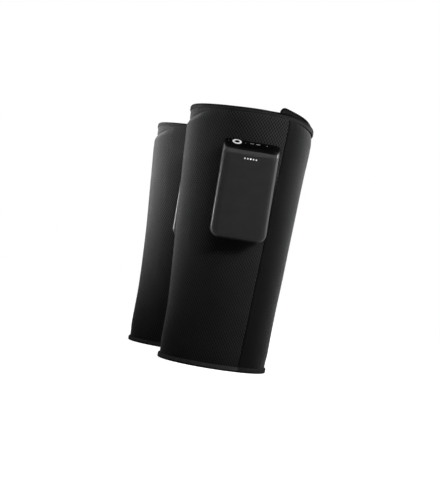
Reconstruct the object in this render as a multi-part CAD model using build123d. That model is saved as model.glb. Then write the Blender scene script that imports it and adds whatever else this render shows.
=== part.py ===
"""Pair of cordless calf compression wraps, each with its own air pump unit.

Each sleeve stands upright as a tapered tube. A padded wrap holds two air cells and runs
from a front seam round the left and back. A closure flap hinges at that seam and fastens
with hook strips on a loop-faced tongue. The pump unit sits on the front of the wrap.

Lengths are millimetres and angles are degrees. +Z is up and -Y is the front.
Azimuths run round a sleeve from its front (0) towards +X (90). A depth is measured
inwards from the wrap's outer surface.
"""

from build123d import *
from math import atan2, cos, degrees, radians, sin, sqrt, tan
import os

# ------------------------------------------------------------------ wrap wall
sleeve_height = 280.0           # floor to top rim
ankle_radius = 59.8             # outer radius of the straight lower part
calf_radius = 70.4              # outer radius of the widest part
rim_radius = 69.0               # outer radius where the wall meets the top binding
ankle_height = 60.0             # top of the straight lower part
calf_drop = 25.0                # top rim down to the start of the widest part
shoulder_drop = 14.0            # top rim down to where the wall turns in
cover_thickness = 2.0
cell_thickness = 6.8
lining_thickness = 1.2
cell_seam = 2.0                 # welded land between the two air cells
cell_split_rise = 43.0          # pump's lower edge up to that land

# ------------------------------------------------------------------ bound edges
binding_height = 4.8
top_binding_proud = 0.5         # out from the wall where it meets the binding
bottom_binding_proud = 2.2
edge_thickness = 4.2            # wall thickness where it is stitched into a binding
edge_taper = 12.0               # height over which the padding thins towards an edge

# ------------------------------------------------------------------ closure
seam_azimuth = 29.5             # front seam, where the flap hinges
seam_gap = 0.3
padding_margin = 5.0            # air cells stop this many degrees before the seam
tongue_tuck = 3.5               # the tongue's end reaches this many degrees past the seam
back_edge_azimuth = 170.0       # other end of the padded wrap
flap_end_azimuth = 160.0
flap_thickness = 3.6
flap_edge_width = 2.4           # width of the tape round the flap's free end
flap_edge_proud = 0.4
hook_thickness = 0.9
hook_width = 34.0               # degrees round the sleeve
hook_height = 52.0
hook_pitch = 76.0
hook_count = 3
hook_clearance = 0.3
tongue_floor_gap = 1.5
tongue_front_rise = 7.8         # above the rim at the sleeve's front
tongue_side_rise = 2.8          # above the rim at the sleeve's right

# ------------------------------------------------------------------ pump housing
pump_width = 58.9
pump_front_height = 95.3
pump_depth = 21.8               # front face out from the wrap
pump_top_drop = 47.0            # top rim down to the housing's front top edge
top_slope = 30.0
panel_depth = 16.1              # sloping top, from the front face back to its ridge
rear_slope = 30.0               # fall of the top behind the ridge
corner_radius = 10.0            # lower corners seen from the front
edge_radius = 7.5               # rounding round the front face
rear_corner_radius = 4.3        # rounding of the ridge's ends
shell_wall = 1.8
parting_depth = 8.0             # joint between front and rear covers, out from the wrap
panel_thickness = 1.6
panel_edge_radius = 0.5
band_height = 6.0               # panel edge and trim band together, on the front face
seat_gap = 0.1                  # between pieces that seat on each other
plate_thickness = 1.4
plate_inset = 4.0

# ------------------------------------------------------------------ buttons and lights
button_row = 13.0               # up the slope from the front top edge
button_clearance = 0.25
button_proud = 0.3
button_travel = 0.6
button_flange = 0.9             # rim that keeps a button under the panel
flange_thickness = 0.8
flange_gap = 0.15
stem_radius = 1.2
stem_length = 1.0
power_x = -16.2
power_radius = 2.7
ring_radius = 4.85
ring_seat_depth = 0.8
ring_proud = 0.35
level_x = 2.9
level_length = 13.2
level_width = 5.2
mode_x = 15.6
mode_radius = 3.2
status_x = -7.2
side_status_x = -25.2
status_radius = 0.45
led_count = 5
led_pitch = 3.0
led_radius = 0.85
led_drop = 10.0                 # front top edge down to the row of lights
light_bar_height = 3.0
light_clearance = 0.05

# ------------------------------------------------------------------ boards
board_thickness = 1.2
board_standoff = 3.6            # main board behind the front wall
board_margin = 0.6
board_post_radius = 1.5
board_post_x = 17.0
board_bottom = 5.0
switch_gap = 0.1                # left under a fully pressed button
switch_radius = 1.0
switch_tip = 0.7
switch_height = 1.5
switch_width = 4.2
key_board_length = 9.0
key_board_reach = 2.5           # past the button row
key_board_margin = 1.2
key_post_radius = 1.1
key_post_inset = 5.6

# ------------------------------------------------------------------ drive
motor_radius = 5.5
motor_length = 22.0
motor_drop = 29.0               # front top edge down to the motor's axis
shaft_radius = 0.8
shaft_hole_clearance = 0.05
shaft_length = 3.0
rotor_radius = 4.0
rotor_length = 6.0
rotor_clearance = 0.3
crank_radius = 0.9
crank_throw = 2.2
crank_length = 1.2
head_size = 12.0
head_length = 15.5
head_end_gap = 0.5              # beyond the crank pin
battery_thickness = 8.0
battery_bottom = 12.0
battery_clearance = 1.0
valve_width = 9.0
valve_height = 12.0
valve_thickness = 9.0
valve_side_gap = 1.5
lower_valve_rise = 20.0
tube_radius = 2.5
tube_bore = 1.5
hose_radius = 2.0
hose_bore = 1.2
tube_bite = 2.0                 # how far a tube enters an air cell

# ------------------------------------------------------------------ screws and port
screw_radius = 1.0
screw_length = 13.0
screw_head_radius = 2.1
screw_head_height = 1.6
screw_seat_depth = 1.0
screw_clearance = 0.15
boss_radius = 2.5
lower_boss_inset = 7.2          # from the cavity's side wall
lower_boss_rise = 7.2
upper_boss_inset = 3.9
upper_boss_drop = 14.0
port_width = 8.94
port_height = 3.2
port_length = 7.35
port_wall = 0.32
port_recess = 0.9
port_back_wall = 1.2
port_tongue_width = 6.7
port_tongue_height = 0.7
port_tongue_length = 4.6
port_clearance = 0.15

# ------------------------------------------------------------------ pair
pair_offset_x = 36.6
pair_offset_y = 196.3

# ------------------------------------------------------------------ worked out
wall_thickness = cover_thickness + cell_thickness + lining_thickness
calf_height = sleeve_height - calf_drop
shoulder_height = sleeve_height - shoulder_drop
rim_height = sleeve_height - binding_height
top_binding_radius = rim_radius + top_binding_proud
bottom_binding_radius = ankle_radius + bottom_binding_proud
wall_profile = [
    (0.0, ankle_radius),
    (ankle_height, ankle_radius),
    (calf_height, calf_radius),
    (shoulder_height, calf_radius),
    (rim_height, rim_radius),
]
wrap_start = back_edge_azimuth - 360.0
half_seam = degrees(seam_gap / 2.0 / ankle_radius)
wrap_end = seam_azimuth - half_seam
flap_start = seam_azimuth + half_seam
hook_depth = flap_thickness + seat_gap
tongue_depth = hook_depth + hook_thickness + hook_clearance

pump_tilt = degrees(atan2(calf_radius - ankle_radius, calf_height - ankle_height))
pump_base_height = (
    sleeve_height
    - pump_top_drop
    + pump_depth * sin(radians(pump_tilt))
    - pump_front_height * cos(radians(pump_tilt))
)
cell_split_height = pump_base_height + cell_split_rise
cavity_half_width = pump_width / 2.0 - shell_wall
cavity_back = 2.0 * seat_gap + plate_thickness + shell_wall
band_drop = band_height * cos(radians(top_slope))
ridge_rise = pump_front_height + panel_depth * tan(radians(top_slope))
big = 4.0 * (pump_front_height + pump_width)
back_reach = pump_width / 2.0
board_front = pump_depth - shell_wall - board_standoff
board_back = board_front - board_thickness
motor_rise = pump_front_height - motor_drop
motor_depth = cavity_back + seat_gap + motor_radius
valve_x = cavity_half_width - valve_side_gap - valve_width / 2.0
valve_back = cavity_back + seat_gap
head_end_x = valve_x - valve_width / 2.0 - 2.0 * hose_radius
head_start_x = head_end_x - head_length
key_switch_top = (
    panel_thickness + flange_gap + flange_thickness + stem_length + button_travel + switch_gap
)
key_board_top = key_switch_top + switch_tip + switch_height


def wall_radius(height):
    """Outer radius of the wrap at a height."""
    for (low, low_radius), (high, high_radius) in zip(wall_profile, wall_profile[1:]):
        if height <= high:
            share = (height - low) / (high - low)
            return low_radius + share * (high_radius - low_radius)
    return rim_radius


def cone_radius(height):
    """Radius of the tapered stretch at a height, carried on past its ends."""
    return ankle_radius + (height - ankle_height) * tan(radians(pump_tilt))


def swept(points, start, end):
    """Ring sector made by turning (radius, height) points from one azimuth to another."""
    profile = make_face(Plane.XZ * Polyline(*points, close=True))
    return Rot(0, 0, start - 90.0) * revolve(profile, Axis.Z, end - start)


def wall_layer(low, high, outer_depth, inner_depth, start, end, turns=()):
    """Layer of the wall between two heights; a depth is a number or a function of height."""
    outer_at = outer_depth if callable(outer_depth) else lambda height: outer_depth
    inner_at = inner_depth if callable(inner_depth) else lambda height: inner_depth
    bends = [height for height, radius in wall_profile] + list(turns)
    heights = [low] + sorted({z for z in bends if low < z < high}) + [high]
    outer = [(wall_radius(z) - outer_at(z), z) for z in heights]
    inner = [(wall_radius(z) - inner_at(z), z) for z in reversed(heights)]
    return swept(outer + inner, start, end)


# ------------------------------------------------------------------ places
pump_place = Location((0, -wall_radius(pump_base_height), pump_base_height), (pump_tilt, 0, 0))
top_place = Location((0, -pump_depth, pump_front_height), (top_slope, 0, 0))
ridge_place = Location((0, panel_depth - pump_depth, ridge_rise), (-rear_slope, 0, 0))


def across(x, rise, depth_from, depth_to, radius):
    """Cylinder square to the housing's front, between two depths out from the wrap."""
    length = depth_from - depth_to
    middle = -(depth_from + depth_to) / 2.0
    return Pos(x, middle, rise) * Rot(90, 0, 0) * Cylinder(radius, length)


def block(x_low, x_high, depth_from, depth_to, rise_low, rise_high):
    """Box in the housing's frame, between two depths out from the wrap."""
    size = Box(x_high - x_low, depth_from - depth_to, rise_high - rise_low)
    centre = Pos(
        (x_low + x_high) / 2.0, -(depth_from + depth_to) / 2.0, (rise_low + rise_high) / 2.0
    )
    return centre * size


def on_slope(x, up, sketch, top, bottom):
    """Prism square to the sloping top, between two distances below its surface."""
    return top_place * Pos(x, up, -bottom) * extrude(sketch, bottom - top)


# ------------------------------------------------------------------ housing outline
def housing_block(inset):
    """Housing outline drawn in by an inset, left long at the top and back."""
    tall = pump_front_height + pump_depth + 4.0 * corner_radius
    outline = RectangleRounded(pump_width - 2.0 * inset, tall, corner_radius - inset)
    sketch = Plane.XZ.offset(-back_reach) * Pos(0, tall / 2.0 + inset) * outline
    solid = extrude(sketch, back_reach + pump_depth - inset)
    front_edges = solid.faces().sort_by(Axis.Y)[0].edges()
    return fillet(front_edges, max(edge_radius - inset, panel_edge_radius))


def roof_form(inset):
    """Space under the top behind its ridge, with rounded ends, drawn in by an inset."""
    radius = max(rear_corner_radius - inset, panel_edge_radius)
    outline = RectangleRounded(pump_width - 2.0 * inset, big, radius)
    sketch = Plane.XZ * Pos(0, -big / 2.0 - inset) * outline
    return ridge_place * extrude(sketch, big, both=True)


def saddle(offset):
    """Tapered round of the wrap, grown by an offset, in the housing's frame."""
    low = pump_base_height - pump_front_height / 2.0
    high = sleeve_height + pump_front_height / 2.0
    points = [
        (0, low),
        (cone_radius(low) + offset, low),
        (cone_radius(high) + offset, high),
        (0, high),
    ]
    return pump_place.inverse() * swept(points, 0, 360.0)


def slope_slab(top, bottom):
    """Space between two planes parallel to the sloping top, at distances below it."""
    return top_place * Pos(0, 0, -(top + bottom) / 2.0) * Box(big, big, bottom - top)


def screw_points():
    """Places of the four case screws, as (x, rise)."""
    lower_x = cavity_half_width - lower_boss_inset
    upper_x = cavity_half_width - upper_boss_inset
    upper_rise = pump_front_height - upper_boss_drop
    return [
        (-lower_x, lower_boss_rise),
        (lower_x, lower_boss_rise),
        (-upper_x, upper_rise),
        (upper_x, upper_rise),
    ]


def valve_points():
    """Rises of the lower and upper air valves."""
    return [lower_valve_rise, motor_rise]


def tube_end_depth(rise):
    """Depth (negative is inside the wrap) where a valve's tube ends in its air cell."""
    radius = cone_radius(pump_base_height + rise)
    cell_radius = radius - cover_thickness
    return -(radius - sqrt(cell_radius**2 - valve_x**2) + tube_bite)


def tube_holes():
    """Clearance holes for both valve tubes."""
    radius = tube_radius + seat_gap
    holes = [across(valve_x, rise, valve_back, tube_end_depth(rise) - seat_gap, radius)
             for rise in valve_points()]
    return holes[0] + holes[1]


outer_form = (housing_block(0.0) & roof_form(0.0)) - saddle(seat_gap)
cavity_form = (housing_block(shell_wall) & roof_form(shell_wall)) - saddle(cavity_back)
shell_form = outer_form - cavity_form


# ------------------------------------------------------------------ housing pieces
def front_cover():
    """Front shell with screw bosses, board posts, light holes and the port hole."""
    half = block(-big, big, big, parting_depth, -big, big)
    cover = shell_form & slope_slab(band_drop, big) & half
    inner_face = pump_depth - shell_wall
    for x, rise in screw_points():
        cover += across(x, rise, inner_face + seat_gap, parting_depth, boss_radius)
    for x in (-board_post_x, board_post_x):
        for rise in (2.0 * lower_boss_rise, pump_front_height - upper_boss_drop):
            cover += across(x, rise, inner_face + seat_gap, board_front, board_post_radius)
    tip = screw_seat_depth + screw_length + seat_gap
    for x, rise in screw_points():
        cover -= across(x, rise, tip, parting_depth, screw_radius + seat_gap / 2.0)
    for x in led_places():
        cover -= across(x, led_rise(), pump_depth + shell_wall, inner_face - shell_wall,
                        led_radius + light_clearance)
    return cover - port_hole()


def led_places():
    """Places across the front of the row of lights."""
    return [(index - (led_count - 1) / 2.0) * led_pitch for index in range(led_count)]


def led_rise():
    """Height of the row of lights above the housing's lower edge."""
    return pump_front_height - led_drop


def port_outline(grow):
    """Rounded outline of the charge port."""
    height = port_height + 2.0 * grow
    return RectangleRounded(port_width + 2.0 * grow, height, height / 2.0 - 0.05)


def port_hole():
    """Hole in the housing's lower wall for the charge port."""
    middle = -(board_back - port_height / 2.0)
    hole = extrude(port_outline(port_clearance), 3.0 * shell_wall)
    return Pos(0, middle, -shell_wall) * hole


def plate_form(grow):
    """Saddle plate between the wrap and the rear cover, grown by a clearance."""
    outline = housing_block(plate_inset - grow) & roof_form(plate_inset - grow)
    inner = saddle(seat_gap - grow)
    return (outline & saddle(seat_gap + plate_thickness + grow)) - inner


def mounting_plate():
    """Saddle plate bonded to the wrap's cover, which the rear cover clips on."""
    return plate_form(0.0) - tube_holes()


def rear_cover():
    """Rear shell with a saddle back, screw columns and a recess for the plate."""
    half = block(-big, big, parting_depth, -big, -big, big)
    recess = plate_form(seat_gap)
    cover = (shell_form & slope_slab(band_drop, big) & half) - recess
    for x, rise in screw_points():
        column = across(x, rise, parting_depth, -back_reach, boss_radius)
        cover += (column & outer_form) - recess
    for x, rise in screw_points():
        cover -= across(x, rise, parting_depth, -back_reach, screw_radius + screw_clearance)
        cover -= across(x, rise, screw_seat_depth, -back_reach,
                        screw_head_radius + screw_clearance)
    return cover - tube_holes()


def trim_band():
    """Glossy frame that carries the button panel on top of both covers."""
    return shell_form & slope_slab(panel_thickness, band_drop)


def button_outlines(grow):
    """Place across the panel and outline of each button, by name, grown by a margin."""
    level_outline = SlotOverall(level_length + 2.0 * grow, level_width + 2.0 * grow)
    return {
        "power_button": (power_x, Circle(power_radius + grow)),
        "level_button": (level_x, level_outline),
        "mode_button": (mode_x, Circle(mode_radius + grow)),
    }


def panel_hole(x, outline):
    """Hole right through the panel."""
    return on_slope(x, button_row, outline, -panel_thickness, 2.0 * panel_thickness)


def top_panel():
    """Sloping panel with button holes, a seat for the ring and posts for the key board."""
    panel = outer_form & slope_slab(0.0, panel_thickness)
    upwards = Axis((0, 0, 0), (0, -sin(radians(top_slope)), cos(radians(top_slope))))
    panel = fillet(panel.faces().sort_by(upwards)[-1].edges(), panel_edge_radius)
    for x, outline in button_outlines(button_clearance).values():
        panel -= panel_hole(x, outline)
    panel -= on_slope(power_x, button_row, Circle(ring_radius + seat_gap / 2.0),
                      -panel_thickness, ring_seat_depth)
    for x in (status_x, side_status_x):
        panel -= panel_hole(x, Circle(status_radius + light_clearance))
    post_x = cavity_half_width - key_post_inset
    for x in (-post_x, post_x):
        panel += on_slope(x, button_row, Circle(key_post_radius), panel_thickness / 2.0,
                          key_board_top)
    return panel


def power_ring():
    """Bright ring let into the panel round the power button."""
    ring = Circle(ring_radius) - Circle(power_radius + button_clearance)
    return on_slope(power_x, button_row, ring, -ring_proud, ring_seat_depth)


def button(name):
    """Button: a cap through the panel, a flange under it and a stem above its switch."""
    x, cap_outline = button_outlines(0.0)[name]
    flange_outline = button_outlines(button_flange)[name][1]
    flange_top = panel_thickness + flange_gap
    flange_bottom = flange_top + flange_thickness
    cap = on_slope(x, button_row, cap_outline, -button_proud, flange_bottom)
    rim = on_slope(x, button_row, flange_outline, flange_top, flange_bottom)
    stem = on_slope(x, button_row, Circle(stem_radius), flange_top, flange_bottom + stem_length)
    return cap + rim + stem


def light_pipes():
    """Clear pieces: the bar with the row of front lights and two pins in the panel."""
    inner_face = pump_depth - shell_wall
    half_length = led_pitch * led_count / 2.0
    half_height = light_bar_height / 2.0
    bar = block(-half_length, half_length, inner_face, board_front,
                led_rise() - half_height, led_rise() + half_height)
    for x in led_places():
        bar += across(x, led_rise(), pump_depth, board_front, led_radius)
    pins = [on_slope(x, button_row, Circle(status_radius), 0.0, key_board_top)
            for x in (status_x, side_status_x)]
    return Compound([bar.solid(), pins[0].solid(), pins[1].solid()])


# ------------------------------------------------------------------ inside the housing
def circuit_board():
    """Main board behind the front wall, cut clear of the screw bosses."""
    top = led_rise() + light_bar_height
    zone = block(-big, big, board_front, board_back, board_bottom, top)
    board = housing_block(shell_wall + board_margin) & zone
    for x, rise in screw_points():
        board -= across(x, rise, board_front + board_thickness, board_back - board_thickness,
                        boss_radius + seat_gap)
    return board


def key_board():
    """Board under the panel with a switch below each button."""
    half_width = cavity_half_width - key_board_margin
    middle = button_row + key_board_reach - key_board_length / 2.0
    bottom = key_board_top + board_thickness
    board = on_slope(0, middle, Rectangle(2.0 * half_width, key_board_length),
                     key_board_top, bottom)
    switch = RectangleRounded(switch_width, switch_width, switch_tip / 2.0)
    for x, outline in button_outlines(0.0).values():
        board += on_slope(x, button_row, switch, key_switch_top + switch_tip, key_board_top)
        board += on_slope(x, button_row, Circle(switch_radius), key_switch_top, key_board_top)
    return board


def battery():
    """Flat cell between the housing's left side and the valves."""
    left = -cavity_half_width + valve_side_gap
    right = valve_x - valve_width / 2.0 - battery_clearance
    top = motor_rise - motor_radius - battery_clearance
    back = valve_back
    pack = block(left, right, back + battery_thickness, back, battery_bottom, top)
    return fillet(pack.edges().filter_by(Axis.Z), battery_thickness / 4.0)


def motor_axis(x_from, x_to, radius, shift=0.0):
    """Cylinder along the motor's axis, or beside it by a shift upwards."""
    middle = Pos((x_from + x_to) / 2.0, -motor_depth, motor_rise + shift)
    return middle * Rot(0, 90, 0) * Cylinder(radius, x_to - x_from)


def pump_motor():
    """Round motor lying across the housing, with a bearing hole in its end."""
    start = head_start_x - motor_length
    hole_depth = shaft_length + shaft_radius
    can = motor_axis(start, head_start_x, motor_radius)
    return can - motor_axis(head_start_x - hole_depth, head_start_x + shaft_length,
                            shaft_radius + shaft_hole_clearance)


def rotor_span():
    """Start and end of the rotor's disc along the motor's axis."""
    start = head_start_x + rotor_clearance
    return start, start + rotor_length


def pump_head():
    """Pump head: a block on the motor's end with the rotor's chamber."""
    half = head_size / 2.0
    body = block(head_start_x, head_end_x, motor_depth + half - seat_gap,
                 motor_depth - half + 6.0 * seat_gap, motor_rise - half, motor_rise + half)
    chamber_end = rotor_span()[1] + crank_length + head_end_gap
    chamber = motor_axis(head_start_x - rotor_length, chamber_end,
                         rotor_radius + rotor_clearance)
    outlet = motor_axis(chamber_end - hose_bore, head_end_x + hose_bore, hose_bore)
    return body - chamber - outlet


def pump_rotor():
    """Rotor: a shaft into the motor, a disc and an off-centre crank pin."""
    start, end = rotor_span()
    middle = (start + end) / 2.0
    shaft = motor_axis(head_start_x - shaft_length, middle, shaft_radius)
    disc = motor_axis(start, end, rotor_radius)
    crank = motor_axis(middle, end + crank_length, crank_radius, crank_throw)
    return shaft + disc + crank


def air_valves():
    """Two solenoid valves, one for each air cell."""
    half = valve_width / 2.0
    rise_half = valve_height / 2.0
    valves = []
    for rise in valve_points():
        body = block(valve_x - half, valve_x + half, valve_back + valve_thickness, valve_back,
                     rise - rise_half, rise + rise_half)
        body -= across(valve_x, rise, valve_back + tube_bite, valve_back - tube_bite, tube_bore)
        valves.append(body.solid())
    return Compound(valves)


def air_tubes():
    """Tubes from each valve into its air cell, and hoses from pump head to the valves."""
    tubes = []
    for rise in valve_points():
        end = tube_end_depth(rise)
        tube = across(valve_x, rise, valve_back, end, tube_radius)
        tube -= across(valve_x, rise, valve_back + tube_bore, end - tube_bore, tube_bore)
        tubes.append(tube.solid())
    side = motor_axis(head_end_x, valve_x - valve_width / 2.0, hose_radius)
    side -= motor_axis(head_end_x - hose_bore, valve_x, hose_bore)
    tubes.append(side.solid())
    lower, upper = valve_points()
    bottom = lower + valve_height / 2.0
    top = upper - valve_height / 2.0
    centre = Pos(valve_x, -(valve_back + valve_thickness / 2.0), (bottom + top) / 2.0)
    down = centre * (Cylinder(hose_radius, top - bottom) - Cylinder(hose_bore, top - bottom))
    tubes.append(down.solid())
    return Compound(tubes)


def usb_port():
    """Charge port: an open metal shell with a contact tongue."""
    middle = -(board_back - port_height / 2.0)
    shell = extrude(port_outline(0.0), port_length)
    mouth = extrude(port_outline(-port_wall), port_length - port_back_wall)
    tongue_top = port_length - port_back_wall / 2.0
    tongue = Pos(0, 0, tongue_top - port_tongue_length / 2.0) * Box(
        port_tongue_width, port_tongue_height, port_tongue_length
    )
    return Pos(0, middle, port_recess) * ((shell - mouth) + tongue)


def case_screws():
    """Four case screws, heads under the mounting plate."""
    screws = []
    for x, rise in screw_points():
        seat = screw_seat_depth
        head = across(x, rise, seat, seat - screw_head_height, screw_head_radius)
        shank = across(x, rise, seat + screw_length, seat - screw_head_height / 2.0,
                       screw_radius)
        screws.append((head + shank).solid())
    return Compound(screws)


# ------------------------------------------------------------------ wrap pieces
def lining_depth(height):
    """Depth of the lining's inner face, less near the bound edges."""
    to_edge = min(height - binding_height, rim_height - height)
    share = min(to_edge / edge_taper, 1.0)
    return edge_thickness + share * (wall_thickness - edge_thickness)


def outer_cover():
    """Outer fabric of the wrap, with holes for the valve tubes."""
    layer = wall_layer(binding_height, rim_height, 0.0, cover_thickness, wrap_start, wrap_end)
    return layer - pump_place * tube_holes()


def inner_lining():
    """Inner fabric of the wrap, drawn out to the bound edges."""
    return wall_layer(
        binding_height,
        rim_height,
        lambda height: lining_depth(height) - lining_thickness,
        lining_depth,
        wrap_start,
        seam_azimuth - padding_margin,
        turns=(binding_height + edge_taper, rim_height - edge_taper),
    )


def air_cell(low, high):
    """Air cell between the outer fabric and the lining."""
    inner = wall_thickness - lining_thickness
    end = seam_azimuth - padding_margin
    cell = wall_layer(low, high, cover_thickness, inner, wrap_start, end)
    return cell - pump_place * tube_holes()


def tongue():
    """Loop-faced tongue under the flap, rising above the rim towards the front."""
    top = sleeve_height + tongue_front_rise + tongue_side_rise
    piece = wall_layer(tongue_floor_gap, top, tongue_depth, wall_thickness,
                       seam_azimuth - tongue_tuck, back_edge_azimuth)
    fall = degrees(atan2(tongue_front_rise - tongue_side_rise,
                         wall_radius(sleeve_height) * cos(radians(seam_azimuth))))
    above = Pos(0, 0, sleeve_height + tongue_side_rise) * Rot(-fall, 0, 0)
    return piece - above * Pos(0, 0, big / 2.0) * Box(big, big, big)


def edge_ring(low, high, outer_radius, inner_radius, start, end):
    """Bound edge: a ring sector with a plain section."""
    points = [(inner_radius, low), (outer_radius, low), (outer_radius, high), (inner_radius, high)]
    return swept(points, start, end)


def top_binding():
    """Tape round the wrap's top edge."""
    return edge_ring(rim_height, sleeve_height, top_binding_radius,
                     rim_radius - edge_thickness, wrap_start, wrap_end)


def bottom_binding():
    """Tape round the wrap's bottom edge, which the sleeve stands on."""
    return edge_ring(0.0, binding_height, bottom_binding_radius,
                     ankle_radius - edge_thickness, wrap_start, wrap_end)


def closure_flap():
    """Flap that wraps over the tongue from the front seam round the right side."""
    return wall_layer(binding_height, rim_height, 0.0, flap_thickness, flap_start,
                      flap_end_azimuth)


def flap_binding():
    """Tape round the flap's top, free end and bottom."""
    top = edge_ring(rim_height, sleeve_height, top_binding_radius,
                    rim_radius - flap_thickness, flap_start, flap_end_azimuth)
    bottom = edge_ring(0.0, binding_height, bottom_binding_radius,
                       ankle_radius - flap_thickness, flap_start, flap_end_azimuth)
    edge_span = degrees(flap_edge_width / ankle_radius)
    end = wall_layer(0.0, sleeve_height, -flap_edge_proud, flap_thickness,
                     flap_end_azimuth, flap_end_azimuth + edge_span)
    return top + bottom + end


def hook_strips():
    """Hook strips inside the flap, which grip the tongue."""
    end = flap_end_azimuth - padding_margin
    middle = sleeve_height / 2.0
    strips = []
    for index in range(hook_count):
        centre = middle + (index - (hook_count - 1) / 2.0) * hook_pitch
        strip = wall_layer(centre - hook_height / 2.0, centre + hook_height / 2.0,
                           hook_depth, hook_depth + hook_thickness,
                           end - hook_width, end)
        strips.append(strip.solid())
    return Compound(strips)


# ------------------------------------------------------------------ assembly
def wrap_pieces():
    """Soft pieces of one sleeve, by name, in the sleeve's frame."""
    low = binding_height + edge_taper
    high = rim_height - edge_taper
    half_land = cell_seam / 2.0
    return {
        "outer_cover": outer_cover(),
        "inner_lining": inner_lining(),
        "lower_air_cell": air_cell(low, cell_split_height - half_land),
        "upper_air_cell": air_cell(cell_split_height + half_land, high),
        "loop_tongue": tongue(),
        "top_binding": top_binding(),
        "bottom_binding": bottom_binding(),
        "closure_flap": closure_flap(),
        "flap_binding": flap_binding(),
        "hook_strips": hook_strips(),
    }


def pump_pieces():
    """Pieces of one pump unit, by name, in the housing's frame."""
    pieces = {
        "mounting_plate": mounting_plate(),
        "rear_cover": rear_cover(),
        "front_cover": front_cover(),
        "trim_band": trim_band(),
        "top_panel": top_panel(),
        "power_ring": power_ring(),
        "light_pipes": light_pipes(),
        "circuit_board": circuit_board(),
        "key_board": key_board(),
        "battery": battery(),
        "pump_motor": pump_motor(),
        "pump_head": pump_head(),
        "pump_rotor": pump_rotor(),
        "air_valves": air_valves(),
        "air_tubes": air_tubes(),
        "usb_port": usb_port(),
        "case_screws": case_screws(),
    }
    for name in button_outlines(0.0):
        pieces[name] = button(name)
    return pieces


def main():
    """Write both sleeves, one file for each piece."""
    os.makedirs("parts", exist_ok=True)
    front_reach = (
        wall_radius(pump_base_height)
        + pump_depth * cos(radians(pump_tilt))
        + pump_front_height * sin(radians(pump_tilt))
    )
    middle_y = (front_reach - calf_radius) / 2.0
    places = {
        "right": Pos(pair_offset_x / 2.0, middle_y - pair_offset_y / 2.0, 0),
        "left": Pos(-pair_offset_x / 2.0, middle_y + pair_offset_y / 2.0, 0),
    }
    sleeve = wrap_pieces()
    for name, piece in pump_pieces().items():
        sleeve[name] = pump_place * piece
    for side, place in places.items():
        for name, piece in sleeve.items():
            export_step(place * piece, f"parts/{side}_{name}.step")


main()
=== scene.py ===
"""Looks of a pair of cordless calf compression wraps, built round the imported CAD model.

Lengths are metres, written as millimetres times MM. Angles are degrees. +Z is up and -Y is
the front. Azimuths run round a sleeve from its front (0) towards +X (90). A depth is
measured inwards from the wrap's outer surface.
"""

from math import cos, degrees, exp, log, pi, radians, sin, sqrt

import bmesh
import bpy
from mathutils import Matrix, Vector


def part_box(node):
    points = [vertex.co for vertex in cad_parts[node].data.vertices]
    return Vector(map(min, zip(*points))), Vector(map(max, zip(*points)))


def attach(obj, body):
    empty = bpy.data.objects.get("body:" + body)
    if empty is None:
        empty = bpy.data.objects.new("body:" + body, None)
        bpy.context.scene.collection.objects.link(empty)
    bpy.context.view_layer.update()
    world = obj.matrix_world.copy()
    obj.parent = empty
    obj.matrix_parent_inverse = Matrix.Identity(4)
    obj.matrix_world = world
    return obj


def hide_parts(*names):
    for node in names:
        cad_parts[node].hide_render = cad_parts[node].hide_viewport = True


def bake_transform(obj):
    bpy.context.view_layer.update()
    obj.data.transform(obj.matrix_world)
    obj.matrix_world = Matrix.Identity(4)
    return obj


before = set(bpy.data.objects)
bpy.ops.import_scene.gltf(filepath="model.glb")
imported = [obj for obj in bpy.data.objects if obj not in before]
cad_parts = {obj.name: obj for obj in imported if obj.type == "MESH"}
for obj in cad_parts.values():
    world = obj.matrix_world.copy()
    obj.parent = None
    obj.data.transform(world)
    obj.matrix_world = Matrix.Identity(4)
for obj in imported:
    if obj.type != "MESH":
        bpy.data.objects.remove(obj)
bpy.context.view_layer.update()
bpy.context.scene.view_settings.view_transform = "Standard"

MM = 0.001

# ---- wrap wall
ANKLE_RADIUS = 59.8 * MM
CALF_RADIUS = 70.4 * MM
ANKLE_HEIGHT = 60.0 * MM
CALF_HEIGHT = 255.0 * MM
PROFILE_BEND = 9.0 * MM  # how softly the wall turns at the ankle and the calf
TAPE_HEIGHT = 4.8 * MM
RIM = 280.0 * MM
RIM_FOOT = RIM - TAPE_HEIGHT  # where the wall meets the rim tape
SHOULDER_FOOT = 262.0 * MM
SHOULDER_DROP = 2.0 * MM
PINCH_DEPTH = 1.1 * MM  # the wall draws in above the base tape
PINCH_HEIGHT = 18.0 * MM
WALL_THICKNESS = 10.0 * MM
EDGE_THICKNESS = 4.2 * MM  # at the bound edges
EDGE_TAPER = 12.0 * MM
CELL_LAND = 182.0 * MM  # height of the weld between the two air cells
WAVE_DEPTH = 0.26  # unevenness of the filled wrap, in mm
WAVE_CALM = 0.85  # share of it that is lost under the pump
WAVE_CALM_TURN = 32.0
PUCKER_DEPTH = 0.16  # puckers along the tapes, in mm
PUCKER_REACH = 7.0 * MM

# ---- collar fold
COLLAR_INSET = 2.3 * MM  # the fold's depth below the full body
COLLAR_RISE = 7.0 * MM  # body's shoulder below the fold
COLLAR_EASE = 0.3 * MM  # the collar leans back out towards the rim
COLLAR_STARTS = -40.0
COLLAR_FULL = -64.0
FOLD_HIGH = 272.5 * MM
FOLD_LOW = 265.0 * MM
FOLD_LOWEST_AT = -82.0
FOLD_GROOVE = 0.9 * MM
FOLD_WIDTH = 0.7 * MM
COLLAR_ZONE = 252.0 * MM  # the cover's rows lie closer above this
COLLAR_ROW_STEP = 0.6 * MM

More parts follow.
